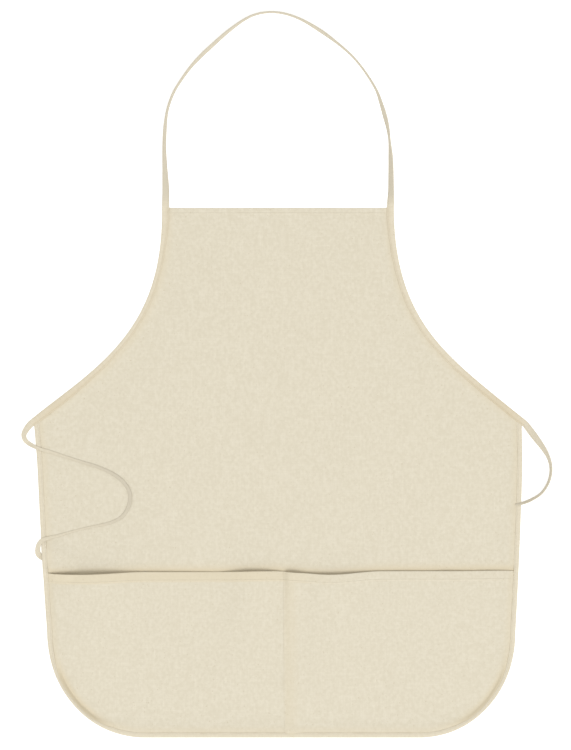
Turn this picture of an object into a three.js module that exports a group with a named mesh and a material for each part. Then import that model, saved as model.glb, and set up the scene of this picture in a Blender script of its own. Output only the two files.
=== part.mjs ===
// A bib apron laid flat on its back, front up, with its neck loop and ties spread as the photo shows.
// Millimetres. X runs across the apron, Y up it toward the neck loop, Z up from the surface it lies on.
// Every height in the tables below is measured up the apron from its bottom edge.
import * as THREE from 'three';

// Driving dimensions of the cut cloth
const bodyLength = 610;
const bibHalf = 133.6;
const waistHalf = 281;
const waistHeight = 369;
const hipHalf = 269.6;
const cornerReach = 111;
const cornerRise = 121;
const sideBow = 1.2;
const armholePulls = [new THREE.Vector2(200.6, 433.5), new THREE.Vector2(132.9, 473.6)];
const bibHem = 12;
const pocketHeight = 191;
const pocketHem = 9;
const pocketEase = 0.5;

// The apron was laid a touch askew: each height sits a little to one side of the middle line, and the
// waist is drawn further to the left, with the reach saying how far up and down that carries.
const askew = 0.0078;
const askewLevel = 383;
const waistDrawn = 2;
const waistDrawnReach = 36;

// Walls and clearances
const clothWall = 1;
const clearance = 0.3;
const bindingWidth = 8;
const bindingWall = 1;
const tapeWidth = 8.3;
const tapeThickness = 2;

// The cloth edge sits inside the binding's slot, and comes down to the floor further in.
const edgeInset = bindingWall + clearance;
const slotInset = 9.5;
const floorInset = 24;
const edgeRaise = bindingWall + clearance;
const plainBindingHeight = 2 * (bindingWall + clearance) + clothWall;
const pocketBindingHeight = plainBindingHeight + clothWall + clearance;

// How finely the outline and the cloth are divided
const cornerSteps = 10;
const armholeSteps = 12;
const middleColumns = 18;
const sideHeights = [140, 160, 175, 181, 182, 191, 196, 201, 206, 211, 216, 222, 229, 260, 300, 344];
const stepsPerTapeRow = 2;

// The pocket is one cloth, made here as strips side by side: cut at its centre seam, where it is sewn
// down, and at both sides of its two widest gapes. Outer strips run to the apron's edge.
const centreSeam = 3;
const stripGap = 0.3;
const stripCornerSpare = 4;
const pocketStrips = [
  { name: 'pocket_left_side', from: -Infinity, to: -229, columns: 5 },
  { name: 'pocket_left_mouth', from: -229, to: -195, columns: 4 },
  { name: 'pocket_left_inner', from: -195, to: centreSeam, columns: 12 },
  { name: 'pocket_right_inner', from: centreSeam, to: 39, columns: 4 },
  { name: 'pocket_right_mouth', from: 39, to: 85, columns: 5 },
  { name: 'pocket_right_side', from: 85, to: Infinity, columns: 11 },
];
const pocketRowParts = [0, 0.045, 0.085, 0.13, 0.2, 0.34, 0.5, 0.66, 0.82];

// Where the armhole binding runs on past the waist corner, and where the skirt binding stops below it
const bindingRunOn = 7;
const skirtBindingTop = 357.7;

// The mouth of the pocket stands off the apron in a few places and droops a little there.
// The rise power sets how quickly the stand-off dies away below the mouth.
const gapeRisePower = 1.6;
const gapes = [
  { x: -212, reach: 72, lift: 9.5, droop: 2.3 },
  { x: -131, reach: 132, lift: 2.5, droop: 0 },
  { x: -40, reach: 42, lift: 6, droop: 0 },
  { x: 58, reach: 62, lift: 10, droop: 4.6 },
  { x: 138, reach: 128, lift: 2.5, droop: 0 },
  { x: 200, reach: 46, lift: 5.5, droop: 0 },
];

// The end of the left tie is tucked under the apron's edge, and the cloth rides over it.
const tuck = {
  from: new THREE.Vector2(-279, 208),
  to: new THREE.Vector2(-250, 201.6),
  lift: 2.9,
  plateau: 9,
  fall: 14,
};

// Routes of the free tapes: x, height, rest (what the lower edge lies on), lean (degrees, 0 lying
// flat and 90 standing on its edge) and spread (1 where the tape is open to its full width, less where
// it has rolled in on itself).
const neckLoopRoute = [
  [-131.3, 610.3, 0.8, 0, 1],
  [-130.9, 631, 0.2, 25, 1],
  [-131.8, 654, 0, 52, 1],
  [-132.5, 677, 0, 66, 1],
  [-131.8, 700, 0, 70, 1],
  [-129.6, 719, 0, 80, 1],
  [-126, 732, 0, 81, 1],
  [-121, 744, 0, 82, 1],
  [-113, 757, 0, 82, 1],
  [-102, 772, 0, 78, 1],
  [-90, 785, 0, 70, 1],
  [-75, 799, 0, 70, 1],
  [-59, 813, 0, 75, 1],
  [-41, 826, 0, 84, 1],
  [-26.5, 832.6, 0, 88, 1],
  [-10.4, 835, 0, 90, 1],
  [7, 833, 0, 88, 1],
  [26, 826, 0, 84, 1],
  [48, 813, 0, 73, 1],
  [67, 799, 0, 84, 1],
  [83, 785, 0, 88, 1],
  [95, 771, 0, 88, 1],
  [104.6, 757, 0, 86, 1],
  [112, 744, 0, 82, 1],
  [117, 730, 0, 71, 1],
  [121.5, 715, 0, 64, 1],
  [125, 700, 0, 75, 1],
  [126.7, 686, 0, 82, 1],
  [128, 668, 0, 60, 1],
  [128.4, 647, 0, 50, 1],
  [128.4, 626, 0.2, 38, 1],
  [127.9, 610.3, 0.8, 0, 1],
];

const leftTieRoute = [
  [-286.6, 361.1, 0.8, 0, 1],
  [-291.2, 355.4, 0.2, 8, 0.9],
  [-294.4, 348.6, 0.1, 20, 0.76],
  [-292.6, 342.2, 0.3, 20, 0.66],
  [-286.6, 337.4, 2.4, 14, 0.58],
  [-280, 334, 3.9, 10, 0.5],
  [-273.5, 331.8, 3.9, 10, 0.46],
  [-267, 330, 3.6, 12, 0.42],
  [-259, 327.6, 2.6, 14, 0.38],
  [-245.4, 323.1, 1.6, 14, 0.36],
  [-229.2, 318, 1.3, 14, 0.38],
  [-210.8, 312.2, 1.3, 14, 0.42],
  [-194.7, 305.3, 1.3, 14, 0.45],
  [-183.2, 297.8, 1.3, 14, 0.48],
  [-175.1, 288, 1.3, 16, 0.5],
  [-172, 277.6, 1.3, 16, 0.52],
  [-173.9, 266.1, 1.3, 16, 0.5],
  [-180.3, 255.7, 1.3, 16, 0.44],
  [-191.2, 248.8, 1.3, 14, 0.38],
  [-206.2, 244.8, 1.3, 14, 0.34],
  [-224.6, 240.8, 1.3, 14, 0.3],
  [-240.8, 236.7, 1.7, 14, 0.31],
  [-254.6, 232.7, 3, 12, 0.36],
  [-265, 228.6, 4.9, 10, 0.46],
  [-272, 225.4, 6, 10, 0.56],
  [-277.4, 220.6, 5, 14, 0.64],
  [-279.5, 215, 1.6, 14, 0.7],
  [-277, 209.8, 0.2, 3, 0.8],
  [-270, 206.2, 0.15, 0, 0.85],
  [-261, 203.6, 0.05, 0, 0.9],
  [-251, 202, 0.05, 0, 0.9],
];

const rightTieRoute = [
  [283.4, 360.7, 0.8, 0, 1],
  [288.8, 353.4, 0.1, 14, 1],
  [296.6, 343, 0, 34, 1],
  [304.4, 332, 0, 54, 1],
  [309.6, 322.3, 0, 70, 1],
  [312.2, 311.5, 0, 77, 1],
  [311.6, 301.5, 0, 80, 1],
  [308, 291, 0, 82, 1],
  [300.6, 280.9, 0.4, 84, 1],
  [289.9, 274.1, 2.6, 84, 1],
  [282, 270.8, 4, 84, 1],
  [276.5, 269.2, 4, 84, 1],
  [271.5, 268.4, 4, 84, 1],
];

// Plain helpers
const degrees = Math.PI / 180;

function smoothRise(value, low, high) {
  return THREE.MathUtils.smoothstep(value, low, high);
}

function shiftAt(height) {
  const fromWaist = (height - waistHeight) / waistDrawnReach;
  return askew * (askewLevel - height) - waistDrawn * Math.exp(-fromWaist * fromWaist);
}

function tuckLift(x, height) {
  const line = new THREE.Line3(
    new THREE.Vector3(tuck.from.x, tuck.from.y, 0),
    new THREE.Vector3(tuck.to.x, tuck.to.y, 0),
  );
  const here = new THREE.Vector3(x, height, 0);
  const away = line.closestPointToPoint(here, true, new THREE.Vector3()).distanceTo(here);
  return tuck.lift * (1 - smoothRise(away, tuck.plateau, tuck.plateau + tuck.fall));
}

// Right half of the outline, from the bottom edge up to the bib: stations with an inward direction
const cornerCurve = new THREE.EllipseCurve(
  hipHalf - cornerReach, cornerRise, cornerReach, cornerRise, -Math.PI / 2, 0,
);
const armholeCurve = new THREE.CubicBezierCurve(
  new THREE.Vector2(waistHalf, waistHeight),
  ...armholePulls,
  new THREE.Vector2(bibHalf, bodyLength),
);

function station(point, tangent) {
  return { point, inward: new THREE.Vector2(-tangent.y, tangent.x) };
}

function stationOn(curve, part) {
  return station(curve.getPoint(part), curve.getTangent(part));
}

function sideStation(height) {
  const run = waistHeight - cornerRise;
  const part = (height - cornerRise) / run;
  const half = hipHalf + (waistHalf - hipHalf) * part + 4 * sideBow * part * (1 - part);
  const slope = (waistHalf - hipHalf + 4 * sideBow * (1 - 2 * part)) / run;
  return station(new THREE.Vector2(half, height), new THREE.Vector2(slope, 1).normalize());
}

function waistStation() {
  const below = sideStation(waistHeight).inward;
  const above = stationOn(armholeCurve, 0).inward;
  const inward = below.clone().add(above).divideScalar(1 + below.dot(above));
  return { point: new THREE.Vector2(waistHalf, waistHeight), inward };
}

const evenly = (steps) => Array.from({ length: steps + 1 }, (_, k) => k / steps);
const bibHemPart = 1 - bibHem / (3 * (bodyLength - armholePulls[1].y));
const armholeParts = [...evenly(armholeSteps).slice(1, -1), bibHemPart - 0.004, bibHemPart, 1];
const cornerStations = evenly(cornerSteps).map((part) => stationOn(cornerCurve, part));
const sideStations = sideHeights.map(sideStation);
const armholeStations = armholeParts.map((part) => stationOn(armholeCurve, part));
const outline = [...cornerStations, ...sideStations, waistStation(), ...armholeStations];

function inset(place, amount) {
  return place.point.clone().addScaledVector(place.inward, amount);
}

function halfWidthAt(height, amount) {
  const line = outline.map((place) => inset(place, amount));
  if (height <= line[0].y) {
    return line[0].x - amount;
  }
  const found = line.findIndex((point) => point.y >= height);
  const above = found < 1 ? line.length - 1 : found;
  const [low, high] = [line[above - 1], line[above]];
  return THREE.MathUtils.mapLinear(height, low.y, high.y, low.x, high.x);
}

// Closed meshes
function closedGeometry(points, triangles) {
  const volume = triangles.reduce((sum, [a, b, c]) => {
    const cross = points[b].clone().cross(points[c]);
    return sum + points[a].dot(cross);
  }, 0);
  const facing = volume > 0 ? triangles : triangles.map(([a, b, c]) => [a, c, b]);
  const geometry = new THREE.BufferGeometry().setFromPoints(points);
  geometry.setIndex(facing.flat());
  return geometry;
}

// A solid carried through rings of the same number of points, with both ends closed
function loft(rings, section) {
  const around = section.length;
  const triangles = [];
  for (let r = 0; r + 1 < rings.length; r += 1) {
    for (let k = 0; k < around; k += 1) {
      const next = (k + 1) % around;
      const [a, b] = [r * around + k, r * around + next];
      triangles.push([a, b, b + around], [a, b + around, a + around]);
    }
  }
  const last = (rings.length - 1) * around;
  const facing = THREE.ShapeUtils.isClockWise(section) ? 1 : -1;
  for (const [a, b, c] of THREE.ShapeUtils.triangulateShape(section, [])) {
    const end = facing > 0 ? [a, c, b] : [a, b, c];
    triangles.push([end[0], end[2], end[1]]);
    triangles.push(end.map((k) => k + last));
  }
  return closedGeometry(rings.flat(), triangles);
}

// A sheet of cloth: rows across the apron, each with an under and an upper point per column
function sheet(rows) {
  const across = rows[0].length;
  const under = rows.flat().map((place) => new THREE.Vector3(place.x, place.y, place.under));
  const upper = rows.flat().map((place) => new THREE.Vector3(place.x, place.y, place.upper));
  const lift = under.length;
  const triangles = [];
  const quad = (a, b, c, d) => triangles.push([a, b, c], [a, c, d]);
  for (let r = 0; r + 1 < rows.length; r += 1) {
    for (let k = 0; k + 1 < across; k += 1) {
      const a = r * across + k;
      const b = a + 1;
      quad(lift + a, lift + b, lift + b + across, lift + a + across);
      quad(a, a + across, b + across, b);
    }
  }
  const last = (rows.length - 1) * across;
  for (let k = 0; k + 1 < across; k += 1) {
    quad(k, k + 1, lift + k + 1, lift + k);
    quad(last + k + 1, last + k, lift + last + k, lift + last + k + 1);
  }
  for (let r = 0; r + 1 < rows.length; r += 1) {
    const a = r * across;
    const b = a + across - 1;
    quad(a + across, a, lift + a, lift + a + across);
    quad(b, b + across, lift + b + across, lift + b);
  }
  return closedGeometry([...under, ...upper], triangles);
}

// Cloth rows: at every station, points at the edge, in the slot, on the floor and across the middle
function clothRow(place) {
  const edge = inset(place, edgeInset);
  const height = edge.y;
  const floorHalf = halfWidthAt(height, floorInset);
  const right = [
    { half: floorHalf, inset: floorInset },
    { half: halfWidthAt(height, slotInset), inset: slotInset },
    { half: edge.x, inset: edgeInset },
  ];
  const left = right.map((column) => ({ ...column, half: -column.half })).reverse();
  const middle = evenly(middleColumns).slice(1, -1).map((part) => {
    return { half: floorHalf * (2 * part - 1), inset: floorInset };
  });
  return [...left, ...middle, ...right].map((column) => {
    return { x: column.half + shiftAt(height), y: height, inset: Math.min(column.inset, height) };
  });
}

function edgeLift(place) {
  const inward = (place.inset - slotInset) / (floorInset - slotInset);
  const raised = edgeRaise * (1 - THREE.MathUtils.clamp(inward, 0, 1));
  return raised + tuckLift(place.x, place.y);
}

function bodyPoint(place) {
  const hemmed = place.y > bodyLength - bibHem - 0.5 && place.inset >= floorInset;
  const under = edgeLift(place);
  const upper = under + (hemmed ? 2 : 1) * clothWall;
  return { ...place, under, upper };
}

function gapeAt(place) {
  const rise = (place.y / pocketHeight) ** gapeRisePower;
  const free = smoothRise(place.inset, slotInset, floorInset);
  return gapes.reduce((sum, gape) => {
    const away = Math.min(1, Math.abs(place.x - gape.x) / gape.reach);
    const share = rise * free * Math.cos(away * Math.PI / 2) ** 2;
    return { lift: sum.lift + gape.lift * share, droop: sum.droop + gape.droop * share };
  }, { lift: 0, droop: 0 });
}

function pocketPoint(place) {
  const { lift, droop } = gapeAt(place);
  const hemmed = place.y > pocketHeight - pocketHem - 0.5 && place.inset >= floorInset;
  const leaving = smoothRise(place.inset, slotInset, floorInset / 2);
  const ease = leaving * (1 - smoothRise(place.inset, floorInset, 2 * floorInset));
  const under = edgeLift(place) + clothWall + clearance + pocketEase * ease + lift;
  const upper = under + (hemmed ? 2 : 1) * clothWall;
  return { ...place, y: place.y - droop, under, upper };
}

const bodyGeometry = sheet(outline.map((place) => clothRow(place).map(bodyPoint)));

// Distance of a point in from the nearest edge below or beside it
const edgeSegments = outline.slice(1).map((place, k) => {
  const [low, high] = [outline[k].point, place.point];
  return new THREE.Line3(new THREE.Vector3(low.x, low.y, 0), new THREE.Vector3(high.x, high.y, 0));
});

function insetAt(x, height) {
  const here = new THREE.Vector3(Math.abs(x - shiftAt(height)), height, 0);
  const away = edgeSegments.map((segment) => {
    return segment.closestPointToPoint(here, true, new THREE.Vector3()).distanceTo(here);
  });
  return Math.min(height, ...away);
}

function pocketPlace(x, y) {
  return pocketPoint({ x, y, inset: insetAt(x, y) });
}

// Height of the cloth's lower edge at a place across the skirt: level, then round the corner
function lowerEdgeAt(x) {
  const spare = edgeInset + clearance;
  const past = Math.max(0, Math.abs(x - shiftAt(0)) - (hipHalf - cornerReach));
  const part = past / (cornerReach - spare);
  return cornerRise - (cornerRise - spare) * Math.sqrt(1 - part * part);
}

const hemHeights = [pocketHeight - pocketHem - 1, pocketHeight - pocketHem, pocketHeight];

// A strip with two straight sides: columns at fixed places, each from the lower edge to the mouth
function middleStrip({ from, to, columns }) {
  const across = evenly(columns).map((part) => {
    return THREE.MathUtils.lerp(from + stripGap / 2, to - stripGap / 2, part);
  });
  const rows = pocketRowParts.map((part) => across.map((x) => {
    return pocketPlace(x, THREE.MathUtils.lerp(lowerEdgeAt(x), hemHeights[0], part));
  }));
  const hem = hemHeights.map((height) => across.map((x) => pocketPlace(x, height)));
  return [...rows, ...hem];
}

// A strip that ends at the apron's edge: one row at each station of the outline, with columns spread
// evenly from the cut to where the cloth leaves the floor, then one in the slot and one at the edge
function sideStrip({ from, to, columns }) {
  const side = Number.isFinite(from) ? 1 : -1;
  const cut = side > 0 ? from + stripGap / 2 : to - stripGap / 2;
  const edges = outline.map((place) => inset(place, edgeInset)).map((edge) => {
    return { y: edge.y, width: side * (side * edge.x + shiftAt(edge.y) - cut) };
  });
  const rows = edges.filter((edge) => {
    return edge.y < pocketHeight + clearance && edge.width > stripCornerSpare;
  });
  return rows.map(({ y, width }) => {
    const slot = Math.max(width - slotInset + edgeInset, 0.6 * width);
    const floor = Math.max(width - floorInset + edgeInset, 0.3 * width);
    const even = evenly(columns - 2).map((part) => part * floor);
    const row = [...even, slot, width].map((away) => pocketPlace(cut + side * away, y));
    return side > 0 ? row : row.reverse();
  });
}

function pocketStrip(strip) {
  const outer = !Number.isFinite(strip.from) || !Number.isFinite(strip.to);
  return sheet(outer ? sideStrip(strip) : middleStrip(strip));
}

// Binding: a channel section folded round the cloth edge
function channel(height) {
  const inside = height - bindingWall;
  return [
    [0, 0],
    [bindingWidth, 0],
    [bindingWidth, bindingWall],
    [bindingWall, bindingWall],
    [bindingWall, inside],
    [bindingWidth, inside],
    [bindingWidth, height],
    [0, height],
  ].map(([across, up]) => new THREE.Vector2(across, up));
}

function bindingRing(place, side, height) {
  return channel(height).map((corner) => {
    const point = inset(place, corner.x);
    const x = side * point.x + shiftAt(point.y);
    return new THREE.Vector3(x, point.y, corner.y + tuckLift(x, point.y));
  });
}

function skirtHeightAt(place) {
  const caught = 1 - smoothRise(place.point.y, pocketHeight + 4, pocketHeight + 12);
  return THREE.MathUtils.lerp(plainBindingHeight, pocketBindingHeight, caught);
}

function armholeBinding(side) {
  const waist = stationOn(armholeCurve, 0);
  const onward = armholeCurve.getTangent(0).multiplyScalar(-bindingRunOn);
  const runOn = { point: waist.point.clone().add(onward), inward: waist.inward };
  const places = [runOn, waist, ...armholeStations];
  const rings = places.map((place) => bindingRing(place, side, plainBindingHeight));
  return loft(rings, channel(plainBindingHeight));
}

function skirtBinding() {
  const rise = [...cornerStations, ...sideStations, sideStation(skirtBindingTop)];
  const right = rise.map((place) => bindingRing(place, 1, skirtHeightAt(place)));
  const left = rise.map((place) => bindingRing(place, -1, skirtHeightAt(place)));
  return loft([...left.reverse(), ...right], channel(plainBindingHeight));
}

// Free tape: a flat section with narrowed edges, turned about its route by the lean
const tapeSection = [
  [-tapeWidth / 2, 0],
  [-tapeWidth / 2 + 0.7, -tapeThickness / 2],
  [tapeWidth / 2 - 0.7, -tapeThickness / 2],
  [tapeWidth / 2, 0],
  [tapeWidth / 2 - 0.7, tapeThickness / 2],
  [-tapeWidth / 2 + 0.7, tapeThickness / 2],
].map(([across, through]) => new THREE.Vector2(across, through));

function tape(route) {
  const centres = route.map(([x, height, rest, lean, spread]) => {
    const stand = Math.abs(Math.sin(lean * degrees)) * spread * tapeWidth / 2;
    const lie = Math.abs(Math.cos(lean * degrees)) * tapeThickness / 2;
    return new THREE.Vector3(x, height, rest + stand + lie);
  });
  const curve = new THREE.CatmullRomCurve3(centres, false, 'catmullrom', 0.5);
  const rings = evenly(stepsPerTapeRow * (route.length - 1)).map((part) => {
    const centre = curve.getPoint(part);
    const along = curve.getTangent(part);
    const place = Math.min(part * (route.length - 1), route.length - 1.000001);
    const row = Math.floor(place);
    const between = (column) => THREE.MathUtils.lerp(route[row][column], route[row + 1][column], place - row);
    const level = new THREE.Vector3(-along.y, along.x, 0).normalize();
    const across = level.clone().applyAxisAngle(along, between(3) * degrees);
    const through = along.clone().cross(across);
    const spread = between(4);
    return tapeSection.map((corner) => {
      return centre.clone().addScaledVector(across, spread * corner.x).addScaledVector(through, corner.y);
    });
  });
  return loft(rings, tapeSection);
}

// The assembly, with its origin under the middle of everything but the free ties
const canvas = { color: 0xe5ddc8, roughness: 0.92, metalness: 0 };
const tapeCloth = { color: 0xded5c0, roughness: 0.9, metalness: 0 };
const pieces = [
  { name: 'body_panel', geometry: bodyGeometry, cloth: canvas },
  ...pocketStrips.map((strip) => ({ name: strip.name, geometry: pocketStrip(strip), cloth: canvas })),
  { name: 'left_armhole_binding', geometry: armholeBinding(-1), cloth: tapeCloth },
  { name: 'right_armhole_binding', geometry: armholeBinding(1), cloth: tapeCloth },
  { name: 'skirt_binding', geometry: skirtBinding(), cloth: tapeCloth },
  { name: 'neck_loop', geometry: tape(neckLoopRoute), cloth: tapeCloth },
  { name: 'left_tie', geometry: tape(leftTieRoute), cloth: tapeCloth },
  { name: 'right_tie', geometry: tape(rightTieRoute), cloth: tapeCloth },
];

const box = new THREE.Box3();
for (const piece of pieces) {
  piece.geometry.computeBoundingBox();
  if (!piece.name.endsWith('_tie')) {
    box.union(piece.geometry.boundingBox);
  }
}
const middle = box.getCenter(new THREE.Vector3());

const apron = new THREE.Group();
apron.name = 'bib_apron';
for (const piece of pieces) {
  piece.geometry.translate(-middle.x, -middle.y, -box.min.z);
  piece.geometry.computeVertexNormals();
  const mesh = new THREE.Mesh(piece.geometry, new THREE.MeshStandardMaterial(piece.cloth));
  mesh.name = piece.name;
  apron.add(mesh);
}

export default apron;
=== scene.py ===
# %% [markdown]
# # A canvas bib apron, laid flat and seen from straight above
# The apron is one piece of undyed cotton canvas with a wide pocket across its skirt. A folded cotton
# tape binds its edges, makes the neck loop and runs on as the two waist ties. Each piece below is a
# surface worked out with numpy, in metres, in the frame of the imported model: X across the apron, Y up
# it toward the neck loop and Z up from the table. Heights are counted up the apron from its lower edge.

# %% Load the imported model
import math

import bpy
import numpy as np
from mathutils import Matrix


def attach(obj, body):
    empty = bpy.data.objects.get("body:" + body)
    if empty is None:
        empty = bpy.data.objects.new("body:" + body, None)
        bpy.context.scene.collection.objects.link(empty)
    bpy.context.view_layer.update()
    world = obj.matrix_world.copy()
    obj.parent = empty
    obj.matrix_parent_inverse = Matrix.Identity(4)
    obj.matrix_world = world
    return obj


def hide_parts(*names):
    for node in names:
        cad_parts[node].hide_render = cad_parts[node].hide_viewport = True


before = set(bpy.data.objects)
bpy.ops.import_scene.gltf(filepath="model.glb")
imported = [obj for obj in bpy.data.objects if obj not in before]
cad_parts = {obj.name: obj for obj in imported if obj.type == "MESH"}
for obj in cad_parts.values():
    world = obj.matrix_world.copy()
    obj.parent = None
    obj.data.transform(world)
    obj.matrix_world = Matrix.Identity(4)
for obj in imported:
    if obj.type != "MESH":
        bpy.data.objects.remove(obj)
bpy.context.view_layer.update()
scene = bpy.context.scene
MM = 0.001

# %% [markdown]
# ## Camera, table and light
# The photograph looks straight down, so the camera hangs over the apron with no tilt and its long side
# runs up the apron. The table is plain and pale, and is a little brighter than the cloth needs, so that
# it stays white. Most of the light comes evenly from the room, as in a light tent, which leaves only
# soft shade where two layers meet. One large lamp hangs high on the side of the lower edge, a little to
# the right, so that the pocket's mouth, which opens the other way, keeps a dark line under its hem.

# %% Camera
picture_middle = (8.74 * MM, -0.4 * MM)
picture_height = 864 * MM
camera_distance = 3.0
sensor = 36

camera_data = bpy.data.cameras.new("camera")
camera_data.sensor_width = sensor
camera_data.lens = sensor * camera_distance / picture_height
camera = bpy.data.objects.new("camera", camera_data)
camera.location = (*picture_middle, camera_distance)
scene.collection.objects.link(camera)
scene.camera = camera
print("lens", round(camera_data.lens, 1), "mm")

# %% Finish helpers
def new_finish(name):
    """A new material that uses nodes, with its tree and its main shader."""
    finish = bpy.data.materials.new(name)
    finish.use_nodes = True
    return finish, finish.node_tree, finish.node_tree.nodes["Principled BSDF"]


def set_inputs(node, values):
    """Gives values to inputs of a node by their names."""
    for name, value in values.items():
        node.inputs[name].default_value = value


# %% Table and light
white = (1, 1, 1, 1)
table_half = 12.0
table_drop = 0.1 * MM
table_shade = 0.9
table_glow = 0.35

table_mesh = bpy.data.meshes.new("table")
table_corners = [(x * table_half, y * table_half, -table_drop)
                 for x, y in ((-1, -1), (1, -1), (1, 1), (-1, 1))]
table_mesh.from_pydata(table_corners, [], [(0, 1, 2, 3)])
table = bpy.data.objects.new("table", table_mesh)
scene.collection.objects.link(table)
table_finish, _, table_shader = new_finish("pale_table")
set_inputs(table_shader, {
    "Base Color": (table_shade, table_shade, table_shade, 1), "Roughness": 1.0,
    "Specular IOR Level": 0.0, "Emission Color": white, "Emission Strength": table_glow})
table_mesh.materials.append(table_finish)

room_light = 0.825
lamp_power = 830
lamp_size = 6.0
lamp_place = (1.8, -5.4, 11.5)

world = bpy.data.worlds.new("room")
world.use_nodes = True
set_inputs(world.node_tree.nodes["Background"], {"Color": white, "Strength": room_light})
scene.world = world
scene.view_settings.view_transform = "Standard"

lamp_data = bpy.data.lights.new("soft_lamp", "AREA")
lamp_data.size = lamp_size
lamp_data.energy = lamp_power
lamp = bpy.data.objects.new("soft_lamp", lamp_data)
lamp.location = lamp_place
lamp.rotation_euler = (-lamp.location).to_track_quat("-Z", "Y").to_euler()
scene.collection.objects.link(lamp)
print("lamp", lamp_power, "W at", lamp_place)

# %% [markdown]
# ## Meshes from arrays
# Every surface here is a grid of points. One helper numbers the quads of a grid, and another puts the
# points, the faces and a UV map measured in metres into a mesh. The UV map lets a weave follow a tape
# round its bends, where a pattern fixed in space would slip.

# %% Grid and mesh helpers
def smooth_rise(value, low, high):
    """0 below low, 1 above high, and 3t^2 - 2t^3 between, where t is the share of the way."""
    share = np.clip((value - low) / (high - low), 0, 1)
    return share * share * (3 - 2 * share)


def grid_quads(rows, columns, ring=False):
    """Quads between neighbouring rows and columns; a ring also joins the last column to the first."""
    row = np.arange(rows - 1)[:, None] * columns
    column = np.arange(columns if ring else columns - 1)[None, :]
    a = row + column
    b = row + (column + 1) % columns
    return np.stack([a, b, b + columns, a + columns], axis=-1).reshape(-1, 4)


def mesh_piece(name, points, faces, finish, uv=None):
    """An object at the origin with these points and faces, shaded smooth, with uv given per point."""
    mesh = bpy.data.meshes.new(name)
    mesh.from_pydata(points.reshape(-1, 3).tolist(), [], faces)
    if uv is not None:
        corners = np.empty(len(mesh.loops), dtype=np.int32)
        mesh.loops.foreach_get("vertex_index", corners)
        layer = mesh.uv_layers.new(name="tape_map")
        layer.data.foreach_set("uv", uv.reshape(-1, 2)[corners].ravel().astype(np.float32))
    mesh.polygons.foreach_set("use_smooth", np.ones(len(mesh.polygons), dtype=bool))
    mesh.materials.append(finish)
    mesh.update()
    piece = bpy.data.objects.new(name, mesh)
    scene.collection.objects.link(piece)
    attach(piece, "root")
    print(name, len(mesh.vertices), "points,", len(mesh.polygons), "faces")
    return piece


def tone_piece(piece, shares):
    """Gives each point of a piece its tone, the share by which its finish goes toward the toned colour."""
    tones = piece.data.attributes.new("tone", "FLOAT", "POINT")
    tones.data.foreach_set("value", shares.ravel().astype(np.float32))


# %% [markdown]
# ## Finish of the canvas
# Undyed canvas is a plain weave: each thread goes over one and under the next. The product of two sines,
# one across and one along, changes sign from one crossing to the next, so its sign says which thread is
# on top there. Long stretched noise makes some threads thicker and darker than others, as slubs do. Soft
# broad noise gives the faint cloudy look of cloth that was never bleached, and a fine sharp noise leaves
# a few seed flecks. Each point of a mesh may carry a share called tone, by which its cloth goes toward a
# second colour. On the loop and the ties it is a greyer one, painted shade: most on the neck loop, which
# stands on its edge, and round the middle of the left tie. On bindings and canvas it is a warmer one:
# painted warm shade where another layer, a fold or a seam shades the cloth, and on the armhole tapes a
# darker stretch next to the waist.

# %% Node helpers and the weave
def add_node(tree, kind, **settings):
    """A shader node of that kind with some of its settings made."""
    node = tree.nodes.new(kind)
    for setting, value in settings.items():
        setattr(node, setting, value)
    return node


def arithmetic(tree, operation, first, second=None):
    """A Math node; each of its inputs is a socket or a number."""
    node = add_node(tree, "ShaderNodeMath", operation=operation)
    for slot, value in enumerate((first, second)):
        if value is None:
            continue
        if isinstance(value, (int, float)):
            node.inputs[slot].default_value = value
        else:
            tree.links.new(value, node.inputs[slot])
    return node.outputs[0]


def plain_weave(tree, along, across, pitch):
    """Thread height of a plain weave: the rounded back of whichever thread is on top at a crossing."""
    turn = math.pi / pitch
    warp = arithmetic(tree, "SINE", arithmetic(tree, "MULTIPLY", along, turn))
    weft = arithmetic(tree, "SINE", arithmetic(tree, "MULTIPLY", across, turn))
    on_top = arithmetic(tree, "GREATER_THAN", arithmetic(tree, "MULTIPLY", warp, weft), 0.0)
    warp_back = arithmetic(tree, "MULTIPLY", arithmetic(tree, "ABSOLUTE", warp), on_top)
    under = arithmetic(tree, "SUBTRACT", 1.0, on_top)
    weft_back = arithmetic(tree, "MULTIPLY", arithmetic(tree, "ABSOLUTE", weft), under)
    return arithmetic(tree, "ADD", warp_back, weft_back)


def stretched_noise(tree, coordinates, scale, detail=2.0):
    """Noise whose grain is stretched by a different scale along each direction."""
    mapping = add_node(tree, "ShaderNodeMapping")
    set_inputs(mapping, {"Scale": scale})
    tree.links.new(coordinates, mapping.inputs["Vector"])
    noise = add_node(tree, "ShaderNodeTexNoise")
    set_inputs(noise, {"Scale": 1.0, "Detail": detail})
    tree.links.new(mapping.outputs["Vector"], noise.inputs["Vector"])
    return noise.outputs["Fac"]


def share_between(tree, value, low, high, to_low=0.0, to_high=1.0):
    """A Map Range node that takes low..high to 0..1, or to another range, and clips outside."""
    node = add_node(tree, "ShaderNodeMapRange")
    set_inputs(node, {"From Min": low, "From Max": high, "To Min": to_low, "To Max": to_high})
    tree.links.new(value, node.inputs["Value"])
    return node.outputs["Result"]


def tint(tree, share, from_colour, to_colour):
    """Colour mixed from one to the other by a share; from_colour may be a socket."""
    node = add_node(tree, "ShaderNodeMix", data_type="RGBA")
    tree.links.new(share, node.inputs["Factor"])
    if isinstance(from_colour, tuple):
        node.inputs[6].default_value = (*from_colour, 1)
    else:
        tree.links.new(from_colour, node.inputs[6])
    node.inputs[7].default_value = (*to_colour, 1)
    return node.outputs[2]


def texture_place(tree, kind):
    """Texture coordinates of one kind: the whole vector, then its X and its Y."""
    place = add_node(tree, "ShaderNodeTexCoord").outputs[kind]
    parts = add_node(tree, "ShaderNodeSeparateXYZ")
    tree.links.new(place, parts.inputs[0])
    return place, parts.outputs["X"], parts.outputs["Y"]


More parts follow.
